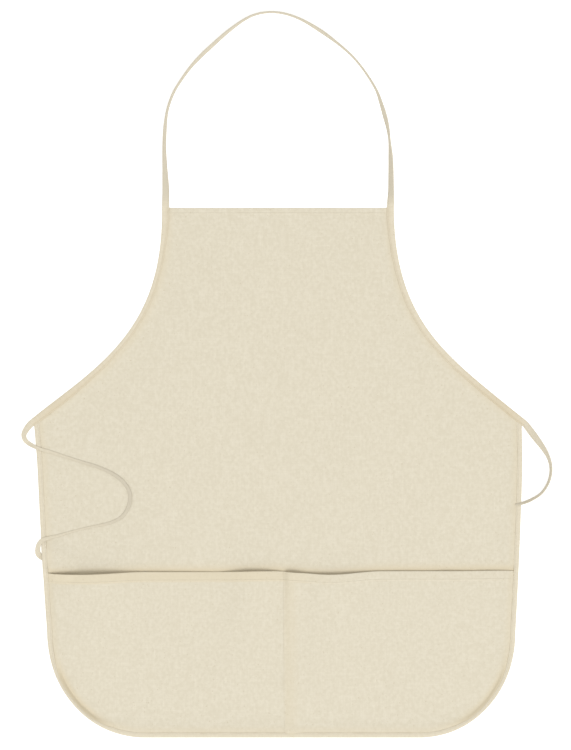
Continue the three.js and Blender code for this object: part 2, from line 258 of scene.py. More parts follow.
def bump_normal(tree, shader, height, strength, distance):
    """A Bump node that turns a height into the shader's normal."""
    bump = add_node(tree, "ShaderNodeBump")
    set_inputs(bump, {"Strength": strength, "Distance": distance})
    tree.links.new(height, bump.inputs["Height"])
    tree.links.new(bump.outputs["Normal"], shader.inputs["Normal"])


# %% Woven cloth
slubs_across, slubs_along = 0.75, 30
slub_range, slub_height = (0.45, 1.6), 0.45
cloud_scale, cloud_range, cloud_strength = (290, 260, 290), (0.36, 0.64), 0.85
fleck_scale, fleck_range, fleck_strength = (700, 520, 700), (0.78, 0.84), 0.5
weave_bump, weave_depth = 0.35, 0.25
rough_range = (0.84, 0.97)


def woven_finish(name, colour, dark, toned, fleck, pitch, coordinates):
    """Matt woven cotton: a plain weave with slubs, cloudy tone, flecks and a thread-deep bump. The
    colour goes toward toned by the share that the mesh carries, which is nothing where it has none."""
    finish, tree, shader = new_finish(name)
    place, along, across = texture_place(tree, coordinates)
    weave = plain_weave(tree, along, across, pitch)
    warp_slubs = stretched_noise(tree, place, (slubs_across / pitch, slubs_along, 1))
    weft_slubs = stretched_noise(tree, place, (slubs_along, slubs_across / pitch, 1))
    slubs = arithmetic(tree, "ADD", warp_slubs, weft_slubs)
    clouds = stretched_noise(tree, place, cloud_scale, detail=4.0)
    specks = stretched_noise(tree, place, fleck_scale, detail=0.0)

    threads = tint(tree, share_between(tree, slubs, *slub_range), colour, dark)
    cloud_share = arithmetic(tree, "MULTIPLY", share_between(tree, clouds, *cloud_range), cloud_strength)
    cloudy = tint(tree, cloud_share, threads, dark)
    tone = add_node(tree, "ShaderNodeAttribute", attribute_name="tone")
    toned_cloth = tint(tree, tone.outputs["Fac"], cloudy, toned)
    fleck_share = arithmetic(tree, "MULTIPLY", share_between(tree, specks, *fleck_range), fleck_strength)
    flecked = tint(tree, fleck_share, toned_cloth, fleck)
    tree.links.new(flecked, shader.inputs["Base Color"])

    height = arithmetic(tree, "ADD", weave, arithmetic(tree, "MULTIPLY", slubs, slub_height))
    bump_normal(tree, shader, height, weave_bump, weave_depth * pitch)
    rough = share_between(tree, weave, 0.0, 1.0, *rough_range)
    tree.links.new(rough, shader.inputs["Roughness"])
    set_inputs(shader, {"Specular IOR Level": 0.2, "Sheen Weight": 0.05, "Sheen Roughness": 0.6})
    return finish


# The toned colours carry painted shade: warm on the canvas and the bindings, greyer on the free tapes. The
# bindings' toned colour also darkens the armhole tapes next to the waist.
canvas = woven_finish(
    "natural_canvas", colour=(0.694, 0.645, 0.528), dark=(0.602, 0.549, 0.427),
    toned=(0.628, 0.548, 0.392), fleck=(0.47, 0.39, 0.26), pitch=0.62 * MM,
    coordinates="Object")
tape_look = dict(colour=(0.690, 0.630, 0.500), dark=(0.614, 0.552, 0.424), fleck=(0.45, 0.37, 0.25),
                 pitch=0.48 * MM, coordinates="UV")
free_cotton = woven_finish("free_tape", toned=(0.50, 0.455, 0.36), **tape_look)
bound_cotton = woven_finish("bound_tape", toned=(0.545, 0.45, 0.29), **tape_look)
print("finishes", canvas.name, free_cotton.name, bound_cotton.name)

# %% [markdown]
# ## Finish of the sewing thread
# Cotton thread is two plies twisted together, so its surface runs in slanting stripes, and so does painted
# shade in the grooves between the plies. The stripes are a sine of the place along the stitch plus the
# place round it, both from the UV map.

# %% Thread
twist_pitch = 0.5 * MM
plies = 2
thread, thread_tree, thread_shader = new_finish("cotton_thread")
_, thread_along, thread_around = texture_place(thread_tree, "UV")
turns_along = arithmetic(thread_tree, "MULTIPLY", thread_along, 2 * math.pi / twist_pitch)
turns_round = arithmetic(thread_tree, "MULTIPLY", thread_around, 2 * math.pi * plies)
twist = arithmetic(thread_tree, "SINE", arithmetic(thread_tree, "ADD", turns_along, turns_round))
# Thread colour, with darker stripes of painted shade in the grooves between the plies.
thread_colour_and_groove_shade = tint(thread_tree, share_between(thread_tree, twist, -1.0, 1.0),
                     (0.62, 0.56, 0.44), (0.68, 0.62, 0.50))
thread_tree.links.new(thread_colour_and_groove_shade, thread_shader.inputs["Base Color"])
bump_normal(thread_tree, thread_shader, twist, strength=0.4, distance=0.08 * MM)
set_inputs(thread_shader, {"Roughness": 0.75})
print("finish", thread.name)

# %% [markdown]
# ## The folded tape
# The tape is a strip of cotton folded in four. Seen end on it is a long narrow C: a rounded fold on one
# side, two lays, and an open side where a seam closes the lays. On the apron the lays hold the cloth's
# edge between them, and where the tape runs free they close up. One profile with a width, a gap and a
# depth of slit draws every place, so the tape can pass from bound edge to free loop without a step.

# %% Profile of the tape
lay = 0.72 * MM
bound_gap = 0.8 * MM
armhole_width = 7.6 * MM
skirt_width = 5.8 * MM
full_width = 5 * MM
fold_round = 1.1 * MM
seam_inset = 1.5 * MM
seam_beside = 0.5 * MM
lip_round = 0.3 * MM
slit_inset = 0.1 * MM
swell_share = 0.45
least_narrow = 0.4
lay_dips = np.array([0.08, 0.0, -0.12, -0.04, -0.16, -0.38]) * MM
fold_angles = np.radians(np.linspace(-90, 90, 9))


def tape_profile(width, gap, slit, groove=0.0):
    """Closed C sections, one row each. Across runs from the fold (0) to the open side (width).
    Through is height from the middle: the fold is half an ellipse, each lay swells a little between
    the fold and the seam, dips at the seam, thins to its lip, and the slit goes in from the open side.
    Where the tape is narrower than its full width the fold and the seam shrink with it, the lip tapers,
    and a groove may sink the middle of each lay."""
    width, gap, slit, groove = np.broadcast_arrays(
        *(np.atleast_1d(np.asarray(value, float)) for value in (width, gap, slit, groove)))
    narrow = np.clip(width / full_width, least_narrow, 1)[:, None]
    half = gap / 2 + lay
    fold_across = fold_round * narrow * (1 - np.cos(fold_angles))[None, :]
    fold_through = half[:, None] * np.sin(fold_angles)[None, :]
    fold_end, seam, open_end = fold_round * narrow, width[:, None] - seam_inset * narrow, width[:, None]
    lay_across = np.concatenate([
        fold_end + swell_share * (seam - fold_end), seam - seam_beside * narrow, seam,
        seam + seam_beside * narrow, open_end - lip_round * narrow, open_end], axis=1)
    lay_through = half[:, None] + lay_dips[None, :] * narrow
    lay_through[:, 0] -= groove
    lip_low = gap[:, None] / 2
    lay_through[:, -2:] = lip_low + (lay_through[:, -2:] - lip_low) * narrow ** 2
    slit_across = np.stack([width - slit_inset, width - slit], axis=1)
    slit_through = np.stack([gap / 2, gap / 2], axis=1)
    across = np.concatenate([fold_across, lay_across, slit_across,
                             slit_across[:, ::-1], lay_across[:, ::-1]], axis=1)
    through = np.concatenate([fold_through, lay_through, slit_through,
                              -slit_through[:, ::-1], -lay_through[:, ::-1]], axis=1)
    return across, through


profile_points = tape_profile(8 * MM, 0.3 * MM, 1 * MM)[0].shape[1]
seam_point = len(fold_angles) + 2
print("tape profile has", profile_points, "points")


# %% Carrying the profile
end_share = 0.01
round_length = 4 * lay + 16 * MM


def near_ends(values):
    """The rows with one more close beside each end, so that the shading of an end face stays on it."""
    first = values[:1] + end_share * (values[1:2] - values[:1])
    last = values[-1:] + end_share * (values[-2:-1] - values[-1:])
    return np.concatenate([values[:1], first, values[1:-1], last, values[-1:]])


def carried_tape(name, finish, middles, toward_open, up, across, through, lengthwise, tone):
    """A closed solid: each ring is its middle plus across along toward_open plus through along up.
    The two ends are closed by one face each. The tone is one value for each ring, or one for each point
    of each ring."""
    rings = middles[:, None] + across[..., None] * toward_open[:, None] + through[..., None] * up[:, None]
    tone = np.asarray(tone, float)
    tone = np.broadcast_to(tone[:, None] if tone.ndim == 1 else tone, rings.shape[:2])
    solid = near_ends(rings)
    count, around = solid.shape[:2]
    faces = grid_quads(count, around, ring=True)
    first = np.arange(around)
    quads = solid.reshape(-1, 3)[faces]
    normals = np.cross(quads[:, 2] - quads[:, 0], quads[:, 3] - quads[:, 1])
    outward = np.einsum("ij,ij->", quads.mean(axis=1), normals) > 0
    if not outward:
        faces = faces[:, ::-1]
    ends = [first[::-1], first + (count - 1) * around]
    ends = ends if outward else [end[::-1] for end in ends]
    round_section = np.linspace(0, round_length, around)
    uv = np.stack(np.broadcast_arrays(near_ends(lengthwise)[:, None], round_section[None, :]), axis=-1)
    faces = faces.tolist() + [end.tolist() for end in ends]
    piece = mesh_piece(name, solid, faces, finish, uv)
    tone_piece(piece, near_ends(tone))
    return piece, rings


def distance_along(points):
    """Length of the line through the points, from its start to each of them."""
    steps = np.linalg.norm(np.diff(points, axis=0), axis=1)
    return np.concatenate([[0], np.cumsum(steps)])


# %% [markdown]
# ## Outline of the apron
# Half of the outline is three curves: an elliptical lower corner, a side that bows out a little on its
# way to the waist, and an armhole, a cubic Bezier from the waist corner to the bib. The other half
# mirrors it, and every height is moved a little sideways, because the apron lies a touch askew. Each
# point keeps its inward direction, which the bindings and the distance from the edge both need. The
# frame shift takes these places, counted from the middle of the lower edge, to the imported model's frame.

# %% Outline
body_length = 610 * MM
bib_half = 133.6 * MM
waist_half = 281 * MM
waist_height = 369 * MM
hip_half = 269.6 * MM
corner_reach = 111 * MM
corner_rise = 121 * MM
side_bow = 1.2 * MM
askew = 0.0078
askew_level = 383 * MM
waist_drawn = 2 * MM
waist_drawn_reach = 36 * MM
frame_shift = np.array([1.827 * MM, -418.0 * MM])
curve_steps, armhole_steps, fine_steps = 120, 160, 400
armhole_pulls = ((200.6 * MM, 433.5 * MM), (132.9 * MM, 473.6 * MM))


def shift_at(height):
    """Sideways shift of a height: a straight line that is zero at the askew level, less a bell curve
    round the waist, which is drawn to the left."""
    drawn = waist_drawn * np.exp(-((height - waist_height) / waist_drawn_reach) ** 2)
    return askew * (askew_level - height) - drawn


def corner_curve(steps):
    """Quarter of an ellipse from the level lower edge up to the side."""
    angle = np.linspace(0, np.pi / 2, steps)
    return np.column_stack([hip_half - corner_reach + corner_reach * np.sin(angle),
                            corner_rise * (1 - np.cos(angle))])


def side_curve(steps):
    """Straight from hip to waist, plus a bow of 4 b p (1 - p)."""
    part = np.linspace(0, 1, steps)
    return np.column_stack([hip_half + (waist_half - hip_half) * part + 4 * side_bow * part * (1 - part),
                            corner_rise + (waist_height - corner_rise) * part])


def armhole_curve(steps):
    """Cubic Bezier from the waist corner to the top of the bib."""
    t = np.linspace(0, 1, steps)[:, None]
    start, end = np.array([waist_half, waist_height]), np.array([bib_half, body_length])
    first, second = np.array(armhole_pulls)
    return (start * (1 - t) ** 3 + 3 * first * t * (1 - t) ** 2
            + 3 * second * t ** 2 * (1 - t) + end * t ** 3)


def inward_of(curve):
    """Unit direction to the left of the way the curve runs, which is into the cloth."""
    along = np.gradient(curve, axis=0)
    along /= np.linalg.norm(along, axis=1, keepdims=True)
    return np.column_stack([-along[:, 1], along[:, 0]])


corner, side = corner_curve(curve_steps), side_curve(curve_steps)
armhole = armhole_curve(armhole_steps)
outline = np.concatenate([corner, side[1:], armhole[1:]])


def inset_at(x, height):
    """Distance from a point of the cloth to the nearest bound edge: side, corner or lower edge."""
    half_x = np.abs(x - shift_at(height)).astype(np.float32)
    up = height.astype(np.float32)
    edge = outline[::2].astype(np.float32)
    away = np.sqrt(((half_x[..., None] - edge[:, 0]) ** 2 + (up[..., None] - edge[:, 1]) ** 2).min(axis=-1))
    return np.minimum(away, up).astype(float)


# %% [markdown]
# ## Height of the cloth
# Lying cloth is almost flat, so its surface is one height for each place. It is a sum: the edge is
# lifted by the lay of the binding under it, the skirt rides over the tucked end of the left tie, and the
# rest keeps very low, broad swells. The pocket lies on the body and follows the same heights.

# %% Height functions
cloth = 0.6 * MM
edge_lift = 0.9 * MM
left_corner_raise = 4.0 * MM
right_corner_raise = 1.9 * MM
left_corner_narrowing = 2.6 * MM
right_corner_narrowing = 1.5 * MM
# The corner's range, as angles in radians round the ellipse, from the side to the lower edge
corner_begins = (0.12, 0.5)
corner_ends = (0.95, 1.4)
floor_gap = 0.05 * MM
drop_inset, corner_drop = 5 * MM, 0.8 * MM
level_inset, corner_level = 20 * MM, 10 * MM
lip_ease = 0.45 * MM
ease_in = (5.6 * MM, 6.6 * MM)
ease_out = (9 * MM, 24 * MM)
skirt_fade = 20 * MM
tuck_from = np.array([-279, 208]) * MM
tuck_to = np.array([-250, 201.6]) * MM
tuck_lift = 2.6 * MM
tuck_plateau = 9 * MM
tuck_fall = 14 * MM
swell_inset = (12 * MM, 60 * MM)
swells = [
    # height mm, waves per metre across and up, phase
    (0.22, 5.1, 3.7, 0.4),
    (0.18, -7.3, 4.9, 2.1),
    (0.12, 9.7, 8.3, 4.4),
    (0.08, -13.0, 17.0, 1.2),
]


def corner_share(x, height):
    """1 round the middle of a lower corner, falling to 0 at the side and at the level edge."""
    half_x = np.abs(x - shift_at(height))
    angle = np.arctan2((corner_rise - height) / corner_rise,
                       np.maximum(half_x - (hip_half - corner_reach), 1e-6) / corner_reach)
    return smooth_rise(angle, *corner_begins) * (1 - smooth_rise(angle, *corner_ends))


def corner_raise(x, height):
    """Lift of the bound edge round a lower corner, where its own bend draws it up."""
    return corner_share(x, height) * np.where(x < 0, left_corner_raise, right_corner_raise)


def corner_narrowing(x, height):
    """How much narrower the tape is round a lower corner, where its bend turns it up on edge."""
    return corner_share(x, height) * np.where(x < 0, left_corner_narrowing, right_corner_narrowing)


def tuck_height(x, height):
    """Lift over the tucked tie: level near a short line, then smoothly down to nothing."""
    line = tuck_to - tuck_from
    part = np.clip(((x - tuck_from[0]) * line[0] + (height - tuck_from[1]) * line[1]) / (line @ line), 0, 1)
    away = np.hypot(x - tuck_from[0] - part * line[0], height - tuck_from[1] - part * line[1])
    return tuck_lift * (1 - smooth_rise(away, tuck_plateau, tuck_plateau + tuck_fall))


def swell_height(x, height, inset):
    """Sum of a few slanting sine swells, all upward, that die away toward the bound edge."""
    total = sum(size * MM * (1 + np.sin(2 * np.pi * (across * x + up * height) + phase))
                for size, across, up, phase in swells)
    return total * smooth_rise(inset, *swell_inset)


def body_under(x, height, inset):
    """Underside of the body: lifted edge, tuck and swells over the table."""
    at_corner = corner_share(x, height)
    narrower = corner_narrowing(x, height)
    level_from = level_inset - corner_level * at_corner - narrower
    drop_from = drop_inset + corner_drop * at_corner - narrower
    lifted = (edge_lift + corner_raise(x, height)) * (1 - smooth_rise(inset, drop_from, level_from))
    on_skirt = 1 - smooth_rise(height, waist_height - skirt_fade, waist_height)
    eased = lip_ease * smooth_rise(inset, *ease_in) * (1 - smooth_rise(inset, *ease_out))
    eased = eased * on_skirt * (1 - at_corner)
    return floor_gap + lifted + eased + tuck_height(x, height) + swell_height(x, height, inset)


print("the skirt rides", round(tuck_lift * 1000, 1), "mm over the tucked tie")

# %% Grid of a cloth
edge_steps = np.array([0, 1.2, 2.4, 3.6, 4.4, 4.7, 5, 5.4, 6, 6.4,
                       6.9, 7.6, 8.6, 10, 12, 14.5, 18, 22, 27]) * MM
edge_inset = 1.2 * MM
corner_rows = 30


def half_width_at(height, inset):
    """Half width of the outline moved inward by inset, looked up at each height."""
    inward = np.concatenate([inward_of(corner), inward_of(side)[1:], inward_of(armhole)[1:]])
    moved = outline + inward * inset
    return np.interp(height, np.maximum.accumulate(moved[:, 1]), moved[:, 0])


def cloth_grid(heights, middle_columns):
    """Points across the apron at each height: close together near both edges, even in the middle."""
    half = half_width_at(heights, edge_inset)[:, None]
    inner = half - edge_steps[-1]
    middle = np.linspace(-1, 1, middle_columns)[None, 1:-1] * inner
    right = half - edge_steps[None, ::-1]
    x = np.concatenate([-right[:, ::-1], middle, right], axis=1) + shift_at(heights)[:, None]
    return x, np.broadcast_to(heights[:, None], x.shape)


def corner_heights(steps):
    """Heights that divide the lower corner evenly by angle."""
    angle = np.linspace(0, np.pi / 2, steps)
    return corner_rise - (corner_rise - edge_inset) * np.cos(angle)


def cloth_shell(name, x, height, under, upper, finish):
    """A closed sheet: the upper grid, the under grid turned over, and a rim round the four sides."""
    faces_at = [np.stack([x + frame_shift[0], height + frame_shift[1], z], axis=-1) for z in (upper, under)]
    points = np.concatenate([face.reshape(-1, 3) for face in faces_at])
    rows, columns = x.shape
    below = rows * columns
    top = grid_quads(rows, columns)
    first, last = np.arange(columns), np.arange(columns) + (rows - 1) * columns
    left, right = np.arange(rows) * columns, np.arange(rows) * columns + columns - 1
    rim = [np.stack([a[:-1] + below, a[1:] + below, a[1:], a[:-1]], axis=1)
           for a in (first, right, last[::-1], left[::-1])]
    faces = np.concatenate([top, top[:, ::-1] + below, *rim])
    return mesh_piece(name, points, faces.tolist(), finish)


# %% [markdown]
# ## Body of the apron
# The body is cut in one piece. Its top edge is turned back twice and sewn, so the last few millimetres
# of the bib are a little thicker, dip along the seam and end in a rounded fold.

# %% Body
bib_hem = 6.6 * MM
bib_seam = 5.4 * MM
hem_extra = 0.55 * MM
hem_step = (-0.3 * MM, 0.6 * MM)
hem_clear = (8 * MM, 10 * MM)
stitch_dip, stitch_dip_width = 0.25 * MM, 0.5 * MM
edge_turn = 1.0 * MM
edge_least = 0.02
fold_rows = np.array([2.0, 1.4, 0.9, 0.5, 0.25, 0.08, 0.0]) * MM


def hem_bulge(from_edge, hem, seam):
    """Extra thickness of a turned hem: even across the hem, with a narrow dip along its seam."""
    turned = hem_extra * (1 - smooth_rise(from_edge - hem, *hem_step))
    return turned - stitch_dip * np.exp(-((from_edge - seam) / stitch_dip_width) ** 2)


def rounded_edge(under, upper, from_edge):
    """Both faces drawn together over the last millimetre, along a quarter circle."""
    share = np.sqrt(np.clip(1 - (1 - np.clip(from_edge / edge_turn, 0, 1)) ** 2, edge_least, 1))
    middle, half = (under + upper) / 2, (upper - under) / 2
    return middle - half * share, middle + half * share


side_rows, bib_rows, body_columns = 60, 58, 140
hem_rows = np.linspace(12, 2.5, 20) * MM
hem_heights = body_length - np.concatenate([hem_rows, fold_rows])
body_heights = np.concatenate([
    corner_heights(corner_rows), np.linspace(corner_rise, waist_height, side_rows)[1:],
    np.linspace(waist_height, hem_heights[0], bib_rows)[1:-1], hem_heights])
body_x, body_height = cloth_grid(body_heights, body_columns)
body_inset = inset_at(body_x, body_height)
body_low = body_under(body_x, body_height, body_inset)
from_top = body_length - body_height
body_hem = hem_bulge(from_top, bib_hem, bib_seam) * smooth_rise(body_inset, *hem_clear)
body_high = body_low + cloth + body_hem
body_low, body_high = rounded_edge(body_low, body_high, from_top)
body_cloth = cloth_shell("body_cloth", body_x, body_height, body_low, body_high, canvas)
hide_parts("body_panel")

# %% [markdown]
# ## Pocket
# The pocket is as wide as the skirt. Its sides and lower edge are caught in the binding, a seam down the
# middle divides it in two, and its hemmed mouth is free. The mouth stands off the body in long shallow
# gapes, which are raised cosines that grow toward the mouth, and the hem droops a little where a gape is
# widest. At the seam the pocket is drawn down to the body. Round the lower corners the binding is drawn
# up by its own bend, so the cloth drops away steeply inside it. Beside a binding, along a seam, on the
# pocket's hem and over the mouth, bands of tone on both cloths are painted warm shade.

# %% Pocket shape
pocket_height = 191 * MM
pocket_hem = 10.2 * MM
pocket_seam = 9.0 * MM
pocket_gap = 0.12 * MM
pocket_clear = (5.8 * MM, 8 * MM)
centre_seam = 2.6 * MM
seam_hold = 3.4 * MM
seam_dip, seam_dip_width = 0.25 * MM, 1.2 * MM
seam_roll, seam_roll_at, seam_roll_width = 0.9 * MM, 9 * MM, 7 * MM
edge_ease = 0.3 * MM
edge_ease_in = (5.6 * MM, 6.4 * MM)
gape_inset = (5.8 * MM, 14 * MM)
slow, quick = 1.6, 6.0
gapes = [
    # across mm, reach mm, lift mm, droop mm, power of growth
    (-219, 66, 8.3, 2.3, slow),
    (-150, 100, 1.4, 0, slow),
    (-34, 40, 5.2, 0, slow),
    (-12, 14, 1.2, 0, quick),
    (14, 22, 4.0, 0.5, quick),
    (58, 62, 4.4, 3.9, slow),
    (138, 128, 1.1, 0, slow),
    (198, 30, 1.1, 0, slow),
    (240, 36, 1.0, 0, slow),
]
mouth_slopes = [
    # from mm, to mm, rise mm
    (-272, -200, 1.6),
    (-70, -20, 1.0),
    (200, 250, 0.5),
]


def gape(x, height, inset):
    """Lift and droop of the pocket: raised cosines across, growing with a power of the height, with no
    lift at the middle seam. The mouth also slopes a little, by smooth rises from one place to another,
    counted from its level at the right of the first one."""
    part = height / pocket_height
    free = smooth_rise(inset, *gape_inset)
    lift, droop = 0, 0
    for at, reach, rise, drop, power in gapes:
        away = np.minimum(1, np.abs(x - at * MM) / (reach * MM))
        share = free * part ** power * np.cos(np.pi / 2 * away) ** 2
        lift = lift + share * rise * MM
        droop = droop + share * drop * MM
    held_down = np.exp(-((x - centre_seam - shift_at(height)) / seam_hold) ** 2)
    slope = sum(rise * MM * smooth_rise(x, start * MM, end * MM) for start, end, rise in mouth_slopes)
    left_rise = mouth_slopes[0][2] * MM
    return (1 - held_down) * lift, droop + part ** slow * (left_rise - slope)


# %% Pocket
middle_rows, pocket_columns = 18, 210
mouth_rows = np.linspace(15, 2.6, 28) * MM
mouth_heights = pocket_height - np.concatenate([mouth_rows, fold_rows])
lip_rows = np.array([5.7, 6.0, 6.4, 6.9, 8.6]) * MM
pocket_heights = np.sort(np.concatenate([
    corner_heights(corner_rows), lip_rows,
    np.linspace(corner_rise, mouth_heights[0], middle_rows)[1:-1], mouth_heights]))
pocket_x, pocket_level = cloth_grid(pocket_heights, pocket_columns)
pocket_inset = inset_at(pocket_x, pocket_level)
gape_lift, gape_droop = gape(pocket_x, pocket_level, pocket_inset)
from_mouth = pocket_height - pocket_level
past_seam = pocket_x - centre_seam - shift_at(pocket_level)
dip = seam_dip * np.exp(-(past_seam / seam_dip_width) ** 2)
roll = seam_roll * np.exp(-((past_seam - seam_roll_at) / seam_roll_width) ** 2)
at_corner = corner_share(pocket_x, pocket_level)
ease = edge_ease * (1 - at_corner) * smooth_rise(pocket_inset, *edge_ease_in)
pocket_low = (body_under(pocket_x, pocket_level, pocket_inset) + cloth + pocket_gap + gape_lift
              + np.maximum(ease + roll - dip, 0))
pocket_high = pocket_low + cloth + (hem_bulge(from_mouth, pocket_hem, pocket_seam)
                                    * smooth_rise(pocket_inset, *pocket_clear))
pocket_low, pocket_high = rounded_edge(pocket_low, pocket_high, from_mouth)
pocket_hung = pocket_level - gape_droop
pocket_cloth = cloth_shell("pocket_cloth", pocket_x, pocket_hung, pocket_low, pocket_high, canvas)

# %% Painted warm shade of the cloth
# Painted warm shade on the canvas, in bands: beside the bindings, in the pocket's lower corners, on its
# hem, right of its middle seam and above its mouth.
painted_shade_bands = {
    # strength, full up to mm, gone by mm
    "edge": (0.4, 6, 16),
    "corner": (0.5, 5.5, 12),
    "hem": (0.62, 10, 13),
    "seam": (0.3, 6, 20),
}
seam_shade_begins = (-1 * MM, 2 * MM)
hem_shade_fades_by = 0.55
hem_shade_fades_across = (-40 * MM, 90 * MM)
mouth_shade = 6 * MM
mouth_shade_under = 4 * MM


def painted_shade_band(name, away):
    """The strength of a band of painted shade, even up to one distance and gone smoothly by another."""
    strength, full, gone = painted_shade_bands[name]
    return strength * (1 - smooth_rise(away, full * MM, gone * MM))


# Painted shade on the body over the pocket's mouth, reaching a little way under it.
over_mouth = body_height - pocket_height + gape(body_x, pocket_height, body_inset)[1]
mouth_painted_shade = (over_mouth > -mouth_shade_under) * np.exp(-(np.maximum(over_mouth, 0) / mouth_shade) ** 2)
body_painted_shade = np.maximum(painted_shade_band("edge", body_inset), mouth_painted_shade)
# The painted shade on the pocket's hem is strongest on the left and fades toward the right.
hem_share = 1 - hem_shade_fades_by / painted_shade_bands["hem"][0] * smooth_rise(past_seam, *hem_shade_fades_across)
hem_painted_shade = hem_share * painted_shade_band("hem", from_mouth)
pocket_seam_shade = smooth_rise(past_seam, *seam_shade_begins) * painted_shade_band("seam", past_seam)
pocket_painted_shade = np.maximum(np.maximum(painted_shade_band("edge", pocket_inset), hem_painted_shade), pocket_seam_shade)
pocket_painted_shade = pocket_painted_shade + at_corner * painted_shade_band("corner", pocket_inset)
tone_piece(body_cloth, np.stack([body_painted_shade, body_painted_shade]))
tone_piece(pocket_cloth, np.stack([pocket_painted_shade, pocket_painted_shade]))
pocket_nodes = [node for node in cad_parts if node.startswith("pocket_")]
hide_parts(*pocket_nodes)
print("the pocket stands for", pocket_nodes)

# %% [markdown]
# ## Bindings
# Along the armholes and round the skirt the same tape is folded over the edge of the cloth. The profile
# is carried along the outline with its fold outward, and its gap is as wide as what it holds: one cloth
# above the pocket, and two below it. Small slow ripples in its width keep it from looking machined. Round
# the armholes the tape is stretched in the hollow of the curve and is narrower there. The armhole tapes
# carry painted shade along their seams and are a little darker next to the waist. Round the lower corners
# its bend turns it up on edge, so there it looks narrower and puckers. The skirt's tape is sewn on first,
# so its upper ends are thinner and go under the armhole tapes.

# %% Binding along a curve
pocket_bound_gap = 1.55 * MM
fold_wall = 1.0 * MM
pucker_depth = 0.45 * MM
lip_pucker = 0.25
pucker_pitch = 5.5 * MM
ripple_size = 0.12 * MM
ripple_lengths = (7.3 * MM, 3.1 * MM)
ripple_phase = 1.7
ripple_fade = 12 * MM
lay_end = len(fold_angles) + len(lay_dips)
upper_lay = np.zeros(profile_points)
upper_lay[len(fold_angles):lay_end] = 1
upper_lay[lay_end - 2:lay_end] = lip_pucker
beside_seam = np.zeros(profile_points)
beside_seam[seam_point - 1:seam_point + 4] = 1


def binding(name, curve, side, width, gap, nodes, added_tone=0.0, tape_seam_shade=0.0):
    """The tape along one curve of the outline: across points inward from the edge, through points up,
    and the lower lay rests on the table or on the tuck. Its tone is the added tone, plus painted shade at
    the seam."""
    inward = inward_of(curve) * np.array([side, 1])
    edge = curve * np.array([side, 1])
    run = distance_along(np.column_stack([edge, 0 * edge[:, 0]]))
    from_end = np.minimum(run, run[-1] - run)
    ripple = np.sin(run / ripple_lengths[0]) + np.sin(run / ripple_lengths[1] + ripple_phase)
    ripple = ripple_size * ripple * smooth_rise(from_end, 0, ripple_fade)
    x = edge[:, 0] + shift_at(edge[:, 1])
    at_corner = corner_share(x, edge[:, 1])
    width_here = width + ripple - corner_narrowing(x, edge[:, 1])
    profile_across, profile_through = tape_profile(width_here, gap, width_here - fold_wall)
    gathered = pucker_depth * at_corner * (1 + np.cos(2 * np.pi * run / pucker_pitch)) / 2
    profile_through = profile_through - gathered[:, None] * upper_lay
    lip_x, lip_height = (np.column_stack([x, edge[:, 1]]) + inward * skirt_width).T
    over_tuck = np.maximum(tuck_height(x, edge[:, 1]), tuck_height(lip_x, lip_height))
    rest = lay + gap / 2 + over_tuck + corner_raise(x, edge[:, 1])
    middles = np.column_stack([x + frame_shift[0], edge[:, 1] + frame_shift[1], rest])
    toward_open = np.column_stack([inward, 0 * run])
    up = np.broadcast_to(np.array([0.0, 0.0, 1.0]), middles.shape)
    # Painted shade beside the seam, on top of the added tone.
    tone = np.broadcast_to(added_tone, run.shape)[:, None] + tape_seam_shade * beside_seam[None, :]
    piece, rings = carried_tape(name, bound_cotton, middles, toward_open, up, profile_across,
                                profile_through, run, tone)
    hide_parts(*nodes)
    return rings


def resampled(curve, step):
    """The same curve with points a fixed step apart."""
    run = distance_along(curve)
    even = np.linspace(0, run[-1], max(2, int(run[-1] / step)))
    return np.column_stack([np.interp(even, run, curve[:, 0]), np.interp(even, run, curve[:, 1])])


run_on = 7 * MM
tape_step = 2 * MM
arm_line = armhole_curve(fine_steps)
start_way = (arm_line[0] - arm_line[1]) / np.linalg.norm(arm_line[0] - arm_line[1])
arm_line = resampled(np.concatenate([[arm_line[0] + run_on * start_way], arm_line]), tape_step)
arm_run = distance_along(arm_line)
# Share of painted shade beside the armhole tapes' seams.
armhole_seam_shade = 0.22
left_arm_table = np.array([
    # along mm, width less the armhole width mm, added tone
    (0, 0.4, 0.12),
    (30, 1.3, 0.24),
    (55, 0.9, 0.22),
    (90, -0.8, 0.12),
    (130, -1.7, 0.02),
    (250, -1.6, 0.02),
    (292, 0.7, 0.02),
])
right_arm_table = np.array([
    # along mm, width less the armhole width mm, added tone
    (0, 0, 0.20),
    (20, 0, 0.36),
    (45, 0, 0.34),
    (70, 0, 0.22),
    (105, -0.3, 0.08),
    (150, 0, 0.02),
    (240, -0.9, 0.02),
    (292, 0.7, 0.02),
])


def arm_tape(name, side, table, node):
    """The binding of one armhole, with its width and its added tone read from the table along its length.
    """
    along, wider, added_tone = table.T
    width = armhole_width + MM * np.interp(arm_run, along * MM, wider)
    return binding(name, arm_line, side, width, bound_gap, [node],
                   np.interp(arm_run, along * MM, added_tone), armhole_seam_shade)


left_arm_rings = arm_tape("left_armhole_tape", -1, left_arm_table, "left_armhole_binding")
right_arm_rings = arm_tape("right_armhole_tape", 1, right_arm_table, "right_armhole_binding")

